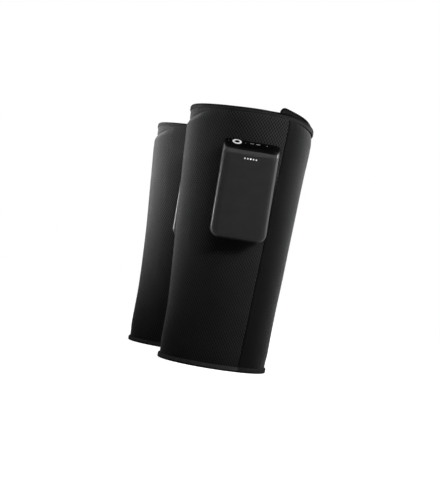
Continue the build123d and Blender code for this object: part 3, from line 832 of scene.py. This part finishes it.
# ---- materials
class Finish:
    """A node material whose textures are laid out in millimetres."""

    def __init__(self, name, roughness, specular=0.5, cloth=False, **sockets):
        finishes[name] = bpy.data.materials.new(name)
        finishes[name].use_nodes = True
        self.tree = finishes[name].node_tree
        self.shader = self.tree.nodes["Principled BSDF"]
        self.shader.inputs["Roughness"].default_value = roughness
        self.shader.inputs["Specular IOR Level"].default_value = specular
        for socket, value in sockets.items():
            self.shader.inputs[socket.replace("_", " ")].default_value = value
        if cloth:
            metres = self.node("Attribute", attribute_name="cloth").outputs["Vector"]
        else:
            metres = self.node("TexCoord").outputs["Object"]
        scaled = self.node("VectorMath", {0: metres, "Scale": 1.0 / MM}, operation="SCALE")
        self.place = scaled.outputs["Vector"]
        self.normal = None

    def node(self, kind, inputs=None, **properties):
        """New node with its properties set, and its inputs set or linked."""
        made = self.tree.nodes.new("ShaderNode" + kind)
        for name, value in properties.items():
            setattr(made, name, value)
        for name, value in (inputs or {}).items():
            if isinstance(value, bpy.types.NodeSocket):
                self.tree.links.new(value, made.inputs[name])
            else:
                made.inputs[name].default_value = value
        return made

    def noise(self, size, detail=2.0, stretch=(1.0, 1.0, 1.0)):
        """Noise whose blobs are about this many millimetres."""
        place = self.node("VectorMath", {0: self.place, 1: stretch}, operation="MULTIPLY")
        made = self.node("TexNoise", {"Vector": place.outputs["Vector"], "Scale": 1.0 / size,
                                      "Detail": detail})
        return made.outputs["Fac"]

    def dots(self, across, up):
        """Distance from the middle of staggered dots, in shares of their pitch."""
        root = sqrt(2.0)
        place = self.node("Mapping", {"Vector": self.place, "Rotation": (0.0, 0.0, radians(45.0)),
                                      "Scale": (root / across, root / up, 1.0)})
        made = self.node("TexVoronoi", {"Vector": place.outputs["Vector"], "Scale": 1.0,
                                        "Randomness": 0.0}, voronoi_dimensions="2D")
        return made.outputs["Distance"]

    def ribs(self, pitch, angle=0.0, wander=0.0):
        """Parallel ribs, a pitch in millimetres apart, turned by an angle."""
        place = self.node("Mapping", {"Vector": self.place,
                                      "Rotation": (0.0, 0.0, radians(angle))})
        made = self.node("TexWave", {"Vector": place.outputs["Vector"],
                                     "Scale": pi / 10.0 / pitch, "Distortion": wander,
                                     "Detail": 1.0, "Detail Scale": 1.5})
        return made.outputs["Fac"]

    def ramp(self, value, low, high, to_low=0.0, to_high=1.0):
        """The value mapped from one range to another, and kept in it."""
        made = self.node("MapRange", {"Value": value, "From Min": low, "From Max": high,
                                      "To Min": to_low, "To Max": to_high})
        return made.outputs["Result"]

    def both(self, first, second, operation="MULTIPLY"):
        """Two values joined by a sum, product or other operation."""
        return self.node("Math", {0: first, 1: second}, operation=operation).outputs[0]

    def tones(self, share, dark, light):
        """Base colour between two tones."""
        made = self.node("Mix", data_type="RGBA")
        self.tree.links.new(share, made.inputs[0])
        made.inputs[6].default_value = (*dark, 1.0)
        made.inputs[7].default_value = (*light, 1.0)
        self.tree.links.new(made.outputs[2], self.shader.inputs["Base Color"])

    def rough(self, share, low, high):
        """Roughness between two values."""
        self.tree.links.new(self.ramp(share, 0.0, 1.0, low, high), self.shader.inputs["Roughness"])

    def relief(self, height, depth):
        """Bump of a depth in millimetres, on top of any bump so far."""
        inputs = {"Height": height, "Distance": depth * MM, "Strength": 1.0}
        if self.normal:
            inputs["Normal"] = self.normal
        self.normal = self.node("Bump", inputs).outputs["Normal"]
        self.tree.links.new(self.normal, self.shader.inputs["Normal"])


def grey(value, warm=0.0):
    """Neutral colour, or slightly warm or cool."""
    return (value * (1.0 + warm), value, value * (1.0 - warm))


def cover_mesh():
    """Dark spacer mesh: staggered dimples in fine threads."""
    finish = Finish("cover_mesh", 0.8, 0.0, cloth=True, Sheen_Weight=0.32, Sheen_Roughness=0.3)
    ground = finish.ramp(finish.dots(3.15, 4.55), 0.17, 0.5)
    mottle = finish.ramp(finish.noise(30.0), 0.3, 0.7, 0.85, 1.0)
    finish.tones(finish.both(ground, mottle), grey(0.0025), grey(0.0215, -0.01))
    finish.rough(finish.noise(4.0), 0.7, 0.9)
    finish.relief(ground, 0.13)
    finish.relief(finish.ribs(0.55, 62.0), 0.015)


def flap_knit():
    """Smooth dark knit with fine wales."""
    finish = Finish("flap_knit", 0.75, 0.0, cloth=True, Sheen_Weight=0.42, Sheen_Roughness=0.3)
    wales = finish.ribs(0.6, 0.0, 0.6)
    mottle = finish.ramp(finish.noise(22.0), 0.3, 0.7)
    finish.tones(finish.both(wales, mottle), grey(0.0052), grey(0.0075, -0.01))
    finish.rough(finish.noise(3.0), 0.65, 0.85)
    finish.relief(wales, 0.03)
    finish.relief(finish.noise(0.6, 3.0), 0.02)


def edging_tape(name, light):
    """Woven edging tape with a diagonal twill, darker over its fold."""
    finish = Finish(name, 0.7, 0.0, cloth=True, Sheen_Weight=0.04, Sheen_Roughness=0.4)
    twill = finish.ribs(0.75, 38.0, 0.3)
    wear = finish.noise(6.0, 3.0)
    across = finish.node("SeparateXYZ", {"Vector": finish.place}).outputs["Y"]
    face = finish.ramp(across, TAPE_FACE[0], TAPE_FACE[1], 1.0, 0.0)
    weave = finish.ramp(finish.both(twill, wear), 0.0, 0.5, 0.65, 1.0)
    finish.tones(finish.both(weave, face), grey(0.0015), grey(light, -0.01))
    finish.rough(wear, 0.5, 0.75)
    finish.relief(twill, 0.06)


def lining_knit():
    """Brushed inner fabric, a little lighter than the cover."""
    finish = Finish("lining_knit", 0.9, 0.1, cloth=True, Sheen_Weight=0.5, Sheen_Roughness=0.5)
    nap = finish.noise(0.7, 4.0)
    mottle = finish.noise(14.0)
    finish.tones(finish.both(nap, mottle, "ADD"), grey(0.007), grey(0.02))
    finish.rough(nap, 0.8, 0.95)
    finish.relief(nap, 0.12)
    finish.relief(finish.ribs(1.4, 90.0, 0.4), 0.04)


def loop_pile():
    """Loop pile for the hooks to grip, in fine slanting ribs."""
    finish = Finish("loop_pile", 0.9, 0.0, cloth=True, Sheen_Weight=0.15, Sheen_Roughness=0.4)
    ribs = finish.ribs(1.3, 84.0, 0.5)
    loops = finish.noise(0.45, 4.0)
    finish.tones(finish.both(ribs, loops), grey(0.002), grey(0.022))
    finish.rough(loops, 0.8, 1.0)
    finish.relief(ribs, 0.22)
    finish.relief(loops, 0.15)


def hook_tape():
    """Moulded hook tape: rows of small stiff hooks."""
    finish = Finish("hook_tape", 0.5, 0.35, cloth=True)
    hooks = finish.ramp(finish.dots(1.1, 1.6), 0.1, 0.4, 1.0, 0.0)
    finish.tones(finish.both(hooks, finish.noise(5.0)), grey(0.007), grey(0.03))
    finish.rough(finish.noise(2.0), 0.4, 0.6)
    finish.relief(hooks, 0.4)


def sewing_thread():
    """Black sewing thread with a twist."""
    finish = Finish("sewing_thread", 0.6, 0.05)
    twist = finish.ribs(0.35, 30.0)
    finish.tones(twist, grey(0.004), grey(0.011))
    finish.rough(finish.noise(3.0), 0.45, 0.65)
    finish.relief(twist, 0.03)


def clouded(name, size, detail, dark, light, low, high, depth, roughness, specular=0.5,
            stretch=(1.0, 1.0, 1.0), **sockets):
    """Material whose tones, gloss and relief all follow one noise."""
    finish = Finish(name, roughness, specular, **sockets)
    cloud = finish.noise(size, detail, stretch)
    finish.tones(cloud, dark, light)
    finish.rough(cloud, low, high)
    finish.relief(cloud, depth)


def moulded(name, dark, light, low, high, grain=0.16, depth=0.012, specular=0.5):
    """Moulded plastic: fine grain, soft tone changes and uneven gloss."""
    finish = Finish(name, (low + high) / 2.0, specular)
    speck = finish.noise(grain, 2.0)
    drift = finish.noise(12.0, 3.0)
    finish.tones(finish.ramp(finish.both(speck, drift, "ADD"), 0.7, 1.3), dark, light)
    finish.rough(drift, low, high)
    finish.relief(speck, depth)


def metal(name, dark, light, low, high, along=(1.0, 1.0, 1.0)):
    """Metal with fine marks drawn out across one direction."""
    finish = Finish(name, (low + high) / 2.0, 0.5, Metallic=1.0)
    marks = finish.noise(0.8, 3.0, along)
    stains = finish.noise(5.0, 3.0)
    finish.tones(finish.both(marks, stains), dark, light)
    finish.rough(marks, low, high)
    finish.relief(marks, 0.006)


def board_laminate():
    """Circuit board: dark green mask with tracks showing faintly."""
    finish = Finish("board_laminate", 0.4, 0.5)
    tracks = finish.ramp(finish.ribs(1.3, 90.0, 3.0), 0.45, 0.55)
    pads = finish.ramp(finish.noise(2.2), 0.55, 0.62)
    finish.tones(finish.both(tracks, pads, "ADD"), (0.006, 0.045, 0.02), (0.02, 0.11, 0.05))
    finish.rough(pads, 0.3, 0.5)
    finish.relief(tracks, 0.03)


def make_finishes():
    """All materials, by the record's slot names and a few of this script's own."""
    white = (1.0, 1.0, 1.0, 1.0)
    cover_mesh()
    flap_knit()
    edging_tape("binding_tape", 0.018)
    # the base tape's copy of the binding tape, lighter in tone: painted light where the lamps
    # leave the low tape dark
    edging_tape("base_tape_painted_light", 0.048)
    lining_knit()
    loop_pile()
    hook_tape()
    sewing_thread()
    board_laminate()
    # milky welded film
    clouded("air_cell_film", 9.0, 4.0, grey(0.10), grey(0.17, -0.02), 0.25, 0.5, 0.4, 0.35)
    # frosted clear plastic of the light pipes
    clouded("light_clear", 1.2, 3.0, grey(0.2), grey(0.3), 0.2, 0.45, 0.01, 0.3,
            Transmission_Weight=0.35)
    # lit white lens of a front light
    clouded("lit_lens", 0.6, 2.0, grey(0.7), grey(0.85), 0.25, 0.4, 0.01, 0.3,
            Emission_Color=white, Emission_Strength=0.3)
    # light grey print of the buttons' marks
    clouded("printed_mark", 0.3, 2.0, grey(0.24), grey(0.36), 0.4, 0.6, 0.01, 0.5, 0.4)
    # satin white metal of the power button's ring, lit from within
    clouded("ring_silver", 0.5, 3.0, grey(0.78), grey(0.9), 0.3, 0.42, 0.004, 0.35,
            stretch=(1.0, 4.0, 1.0), Metallic=0.6, Emission_Color=white, Emission_Strength=0.1)
    moulded("housing_matte", grey(0.0085), grey(0.012), 0.3, 0.38, depth=0.008, specular=0.15)
    moulded("plate_plastic", grey(0.02), grey(0.03), 0.5, 0.6)
    moulded("band_gloss", grey(0.012), grey(0.018), 0.16, 0.24, depth=0.001, specular=0.4)
    moulded("panel_gloss", grey(0.0008), grey(0.0016), 0.08, 0.14, depth=0.0005, specular=0.04)
    moulded("button_gloss", grey(0.001), grey(0.002), 0.12, 0.2, depth=0.0005, specular=0.06)
    moulded("battery_can", (0.05, 0.12, 0.3), (0.07, 0.16, 0.38), 0.3, 0.4)
    moulded("head_plastic", grey(0.35), grey(0.45), 0.4, 0.55)
    moulded("rotor_plastic", (0.5, 0.48, 0.4), (0.62, 0.6, 0.5), 0.35, 0.5)
    moulded("tube_silicone", grey(0.45), grey(0.58), 0.35, 0.5)
    metal("motor_steel", grey(0.42), grey(0.56), 0.25, 0.42, (0.1, 1.0, 1.0))
    metal("valve_metal", grey(0.4), grey(0.5), 0.3, 0.45)
    metal("port_steel", grey(0.5), grey(0.62), 0.2, 0.35)
    metal("screw_steel", grey(0.3), grey(0.42), 0.3, 0.45)


# CAD nodes that keep their own shape, by the slot each takes its finish from
HARD_NODES = {
    "plate_plastic": ("mounting_plate",),
    "housing_matte": ("rear_cover", "front_cover"),
    "band_gloss": ("trim_band",),
    "panel_gloss": ("top_panel",),
    "ring_silver": ("power_ring",),
    "light_clear": ("light_pipes",),
    "board_laminate": ("circuit_board", "key_board"),
    "battery_can": ("battery",),
    "motor_steel": ("pump_motor",),
    "head_plastic": ("pump_head",),
    "rotor_plastic": ("pump_rotor",),
    "valve_metal": ("air_valves",),
    "tube_silicone": ("air_tubes",),
    "port_steel": ("usb_port",),
    "screw_steel": ("case_screws",),
    "button_gloss": ("power_button", "level_button", "mode_button"),
}


def wear(piece, finish):
    """Give a piece one material."""
    piece.data.materials.clear()
    piece.data.materials.append(finishes[finish])


# ---- one sleeve
def blend_line(sleeve):
    """Start and end of the fabric that bends at the seam, square to the slanting seam."""
    foot = sleeve.point(SEAM_LOW, ANKLE_RADIUS, 0.0)
    head = sleeve.point(SEAM_HIGH, CALF_RADIUS, RIM)
    seam = (head - foot).normalized()
    middle = (foot + head) / 2.0
    round_wrap = directions((SEAM_LOW + SEAM_HIGH) / 2.0)[0]
    square = (round_wrap - seam * round_wrap.dot(seam)).normalized()
    return middle, middle + square * BLEND_LENGTH


def finish_piece(piece, material, slot, *nodes):
    """Material of a new piece, with the CAD nodes that it replaces hidden. The slot is not used.
    """
    wear(piece, material)
    if nodes:
        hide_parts(*nodes)


def add_wrap(sleeve):
    """Soft pieces that stay with the wrap."""
    side, body = sleeve.side, sleeve.side + "_wrap"
    cover = grid_piece(side + "_cover_fabric", cover_rows(sleeve))
    swell("cover", cover, cover_held, COVER_PRESSURE, COVER_CAP)
    thicken(cover, COVER_THICKNESS)
    finish_piece(cover, "cover_mesh", "cover_mesh", side + "_outer_cover")

    lining = grid_piece(side + "_lining_fabric", lining_rows(sleeve))
    swell("lining", lining, lining_held, LINING_PRESSURE, LINING_CAP)
    thicken(lining, LINING_THICKNESS)
    finish_piece(lining, "lining_knit", "lining_knit", side + "_inner_lining")

    tongue = loft_piece(side + "_tongue_pad", tongue_loops(sleeve))
    finish_piece(tongue, "loop_pile", "loop_pile", side + "_loop_tongue")
    edge = tongue_tape(side + "_tongue_edge", sleeve)
    finish_piece(edge, "binding_tape", "binding_tape")

    rim_end = seam_azimuth(RIM)
    rim = loft_piece(side + "_rim_tape", ring_loops(sleeve, WRAP_BACK, rim_end, rim_section))
    finish_piece(rim, "binding_tape", "binding_tape", side + "_top_binding")
    base_end = seam_azimuth(0.0)
    base = loft_piece(side + "_base_tape_painted_light", ring_loops(sleeve, WRAP_BACK, base_end, base_section))
    # the base tape wears the lighter copy of the binding tape, whose extra lightness is painted
    # light
    finish_piece(base, "base_tape_painted_light", "binding_tape", side + "_bottom_binding")

    places = tape_stitches(sleeve, (WRAP_BACK, rim_end), (WRAP_BACK, base_end))
    stitches = stitch_piece(side + "_wrap_stitches", places)
    finish_piece(stitches, "sewing_thread", "binding_tape")

    for piece in (cover, lining, tongue, edge, rim, base, stitches):
        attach(piece, body)


def add_cells(sleeve):
    """The two welded air cells inside the wall."""
    side = sleeve.side
    spans = {"lower": (CELL_LOW, CELL_LAND - CELL_GAP), "upper": (CELL_LAND + CELL_GAP, CELL_HIGH)}
    for name, (low, high) in spans.items():
        loops = []
        for azimuth in steps(WRAP_BACK + 4.0, LINING_END - 4.0, 4.0):
            outer, inner = [], []
            for height in steps(low, high, 6.0 * MM):
                edge = quarter(1.0 - min(height - low, high - height) / CELL_EDGE)
                middle = plain_radius(height) - CELL_DEPTH
                half = CELL_HALF - CELL_THINNING * edge
                outer.append(sleeve.spot(azimuth, middle + half, height))
                inner.append(sleeve.spot(azimuth, middle - half, height))
            loops.append(outer + inner[::-1])
        cell = loft_piece(f"{side}_{name}_bladder", loops)
        finish_piece(cell, "air_cell_film", "air_cell_film", f"{side}_{name}_air_cell")
        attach(cell, side + "_wrap")


def add_flap(sleeve):
    """The flap, its tape and stitches; its hook tabs ride on it."""
    side = sleeve.side
    wrap, flap_body = side + "_wrap", side + "_flap"
    start, end = blend_line(sleeve)
    flap = grid_piece(side + "_flap_panel", flap_rows(sleeve))
    swell("flap", flap, flap_held, COVER_PRESSURE, COVER_CAP)
    thicken(flap, FLAP_THICKNESS)
    finish_piece(flap, "flap_knit", "flap_knit", side + "_closure_flap")

    rim_start, base_start = seam_azimuth(RIM), seam_azimuth(0.0)
    top = ring_loops(sleeve, rim_start + 0.1, FLAP_END + 0.5, rim_section)
    bottom = ring_loops(sleeve, base_start + 0.1, FLAP_END + 0.5, base_section)
    tape = loft_piece(side + "_flap_tape", top, bottom, end_tape_loops(sleeve))
    finish_piece(tape, "binding_tape", "binding_tape", side + "_flap_binding")

    places = tape_stitches(sleeve, (rim_start, FLAP_END), (base_start, FLAP_END))
    stitches = stitch_piece(side + "_flap_stitches", places + seam_stitches(sleeve))
    finish_piece(stitches, "sewing_thread", "binding_tape")

    for piece in (flap, tape, stitches):
        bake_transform(piece)

    for index, centre in enumerate(HOOK_CENTRES):
        tab = thicken(grid_piece(f"{side}_hook_tab_{index + 1}", hook_rows(sleeve, centre)),
                      HOOK_THICKNESS)
        nodes = [side + "_hook_strips"] if index == 0 else []
        finish_piece(tab, "hook_tape", "hook_tape", *nodes)
        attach(tab, flap_body)


def add_pump(sleeve):
    """Finishes of the pump unit's CAD pieces, lit lenses and the buttons' marks."""
    side = sleeve.side
    for slot, nodes in HARD_NODES.items():
        for node in nodes:
            wear(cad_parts[f"{side}_{node}"], slot)

    foot = sleeve.axis + Vector((0.0, -PUMP_FOOT_RADIUS, PUMP_FOOT_HEIGHT))
    housing = Matrix.Translation(foot) @ Matrix.Rotation(radians(PUMP_TILT), 4, "X")
    facing = Matrix.Rotation(radians(90.0), 4, "X")
    for index in range(LIGHT_COUNT):
        across = (index - (LIGHT_COUNT - 1) / 2.0) * LIGHT_PITCH
        place = housing @ Matrix.Translation((across, -PUMP_DEPTH, LIGHT_RISE)) @ facing
        lens = raised_mark(f"{side}_front_light_{index + 1}", disc_outline(LIGHT_RADIUS), place)
        finish_piece(lens, "lit_lens", "light_clear")
        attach(lens, side + "_wrap")

    low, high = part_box(side + "_power_ring")
    slope = Matrix.Rotation(radians(PANEL_TILT), 4, "X")
    upwards = slope @ Vector((0.0, 0.0, 1.0))
    ring = (low + high) / 2.0 + upwards * RING_SEAT
    for name, node, places, outline in (
        ("level_dash", "level_button", DASH_PLACES, slot_outline(DASH_LENGTH, DASH_WIDTH)),
        ("mode_dot", "mode_button", (0.0,), disc_outline(DOT_RADIUS)),
    ):
        low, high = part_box(f"{side}_{node}")
        for index, across in enumerate(places):
            centre = Vector(((low.x + high.x) / 2.0 + across, ring.y, ring.z))
            place = Matrix.Translation(centre + upwards * BUTTON_PROUD) @ slope
            mark = raised_mark(f"{side}_{name}_{index + 1}", outline, place)
            finish_piece(mark, "printed_mark", "ring_silver")
            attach(mark, f"{side}_{node}")


# ---- studio
CAMERA_PLACE = Vector((-59.0, -1280.6, 97.1)) * MM
CAMERA_YAW = 3.06
CAMERA_PITCH = 2.03
CAMERA_ROLL = 9.09
CAMERA_LENS = 80.54
CAMERA_SENSOR = 36.0
LAMP_DISTANCE = 1.3
WORLD_LIGHT = 0.17
FLOOR_TONE = 0.5
FLOOR_LIFT = 0.92
FLOOR_HALF = 6.0


def add_camera():
    """Camera at the photographer's place, leaning to one side."""
    yaw, pitch, roll = (radians(angle) for angle in (CAMERA_YAW, CAMERA_PITCH, CAMERA_ROLL))
    forward = Vector((sin(yaw) * cos(pitch), cos(yaw) * cos(pitch), sin(pitch)))
    level = Vector((cos(yaw), -sin(yaw), 0.0))
    upright = level.cross(forward)
    right = level * cos(roll) + upright * sin(roll)
    up = upright * cos(roll) - level * sin(roll)
    data = bpy.data.cameras.new("camera")
    data.sensor_fit = "VERTICAL"
    data.sensor_height = CAMERA_SENSOR
    data.lens = CAMERA_LENS
    camera = put("camera", data)
    turned = Matrix((right, up, -forward)).transposed().to_4x4()
    camera.matrix_world = Matrix.Translation(CAMERA_PLACE) @ turned
    bpy.context.scene.camera = camera


def softbox(name, azimuth, rise, width, height, power, aim=0.15, spread=180.0, mirrored=True):
    """Area light round the object, a rise above the floor, facing a point on its axis.

    One that is not mirrored lights the fabric, but leaves no streak on the pump's gloss.
    """
    data = bpy.data.lights.new(name, "AREA")
    data.shape = "RECTANGLE"
    data.size = width
    data.size_y = height
    data.energy = power
    data.spread = radians(spread)
    turn = radians(azimuth)
    place = Vector((LAMP_DISTANCE * sin(turn), -LAMP_DISTANCE * cos(turn), rise))
    lamp = put(name, data)
    lamp.location = place
    lamp.rotation_euler = (place - Vector((0.0, 0.0, aim))).to_track_quat("Z", "Y").to_euler()
    lamp.visible_camera = False
    lamp.visible_glossy = mirrored


def white_where_seen(tree, dim):
    """Colour that is white to the eye and to reflections, and dim as light."""
    path = tree.nodes.new("ShaderNodeLightPath")
    seen = path.outputs["Is Camera Ray"]
    for ray in ("Is Glossy Ray", "Is Transmission Ray"):
        larger = tree.nodes.new("ShaderNodeMath")
        larger.operation = "MAXIMUM"
        tree.links.new(seen, larger.inputs[0])
        tree.links.new(path.outputs[ray], larger.inputs[1])
        seen = larger.outputs[0]
    mix = tree.nodes.new("ShaderNodeMix")
    mix.data_type = "RGBA"
    tree.links.new(seen, mix.inputs[0])
    mix.inputs[6].default_value = (dim, dim, dim, 1.0)
    mix.inputs[7].default_value = (1.0, 1.0, 1.0, 1.0)
    return mix.outputs[2]


def add_studio():
    """Pale floor, white surroundings and soft lamps."""
    world = bpy.data.worlds.new("studio")
    world.use_nodes = True
    background = world.node_tree.nodes["Background"]
    world.node_tree.links.new(white_where_seen(world.node_tree, WORLD_LIGHT),
                              background.inputs["Color"])
    bpy.context.scene.world = world

    corners = [(x * FLOOR_HALF, y * FLOOR_HALF, 0.0)
               for x, y in ((-1, -1), (1, -1), (1, 1), (-1, 1))]
    floor = new_piece("floor", corners, [(0, 1, 2, 3)])
    material = bpy.data.materials.new("studio_floor")
    material.use_nodes = True
    tree = material.node_tree
    shader = tree.nodes["Principled BSDF"]
    shader.inputs["Base Color"].default_value = (*grey(FLOOR_TONE), 1.0)
    shader.inputs["Roughness"].default_value = 0.9
    shader.inputs["Specular IOR Level"].default_value = 0.0
    lift = white_where_seen(tree, 0.0)
    tree.links.new(lift, shader.inputs["Emission Color"])
    shader.inputs["Emission Strength"].default_value = FLOOR_LIFT
    floor.data.materials.append(material)

    softbox("left_box", -100.0, 0.3, 0.3, 0.3, 1.8, aim=0.48, spread=40.0, mirrored=False)
    softbox("left_low_box", -110.0, 0.15, 0.3, 0.3, 0.9, aim=0.0, mirrored=False)
    softbox("left_back_strip", -106.0, 0.26, 0.12, 0.12, 0.8, aim=0.225, spread=18.0,
            mirrored=False)
    softbox("left_rear_strip", -130.0, 0.26, 0.12, 0.12, 0.45, aim=0.23, spread=15.0,
            mirrored=False)
    softbox("left_high_strip", -147.0, 0.3, 0.3, 0.3, 1.2, aim=0.58, spread=36.0)
    softbox("right_low_box", 85.0, 0.3, 0.3, 0.3, 4.0, aim=0.05, mirrored=False)
    softbox("right_strip", 94.0, 0.4, 0.4, 0.5, 6.5, aim=0.1)
    softbox("right_back_strip", 125.0, 0.5, 0.3, 0.3, 5.0, aim=0.5, spread=40.0,
            mirrored=False)
    softbox("back_box", 180.0, 0.9, 0.5, 0.5, 1.5)
    softbox("front_right_box", 50.0, 0.9, 0.4, 0.6, 6.5)
    softbox("front_right_spot", 42.0, 0.9, 0.3, 0.3, 0.5, aim=0.2, spread=15.0)


make_finishes()
add_camera()
add_studio()
for wrap in (Sleeve("right"), Sleeve("left")):
    add_wrap(wrap)
    add_cells(wrap)
    add_flap(wrap)
    add_pump(wrap)

bpy.context.view_layer.update()
